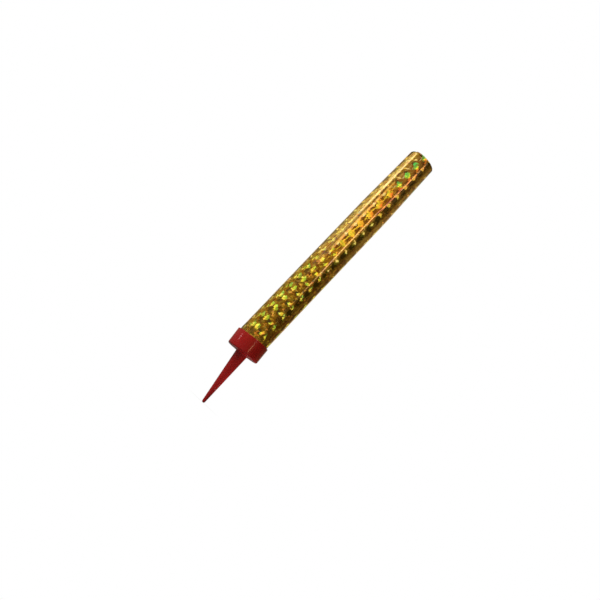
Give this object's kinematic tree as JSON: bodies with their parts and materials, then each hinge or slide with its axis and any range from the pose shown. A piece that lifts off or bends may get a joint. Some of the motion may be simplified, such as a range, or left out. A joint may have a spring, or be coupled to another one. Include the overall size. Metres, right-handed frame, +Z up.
{
  "type": "fountain candle",
  "caption": "Fountain candle: a slim film-wrapped paper tube, drawn in at the mouth, pushed into a moulded cup whose tapered spike stands it in a cake.",
  "frame": {"origin": "where the spike's axis meets the underside of the holder's cup, at the cake's surface", "axes": "+Z up along the tube, towards the mouth; the holder's spike leans towards +X; -Y faces the pictured side"},
  "size_m": [0.0169, 0.0164, 0.1503],
  "materials": {
    "holder_plastic": "gloss",
    "rolled_paper": "matte",
    "gold_film": "polished",
    "plug_clay": "matte",
    "charge": "matte",
    "starter": "matte",
    "fuse_cord": "matte",
    "seal_paper": "matte"
  },
  "bodies": {
    "holder": {"holder": "holder_plastic"},
    "candle": {"paper_tube": "rolled_paper", "foil_wrap": "gold_film", "base_plug": "plug_clay", "fountain_charge": "charge", "starter_layer": "starter", "fuse": "fuse_cord", "top_seal": "seal_paper"}
  },
  "joints": [
    {"name": "tube_pull", "type": "slide", "parent": "holder", "child": "candle", "axis": [0, 0, 1], "range_m": [0, 0.01]}
  ]
}
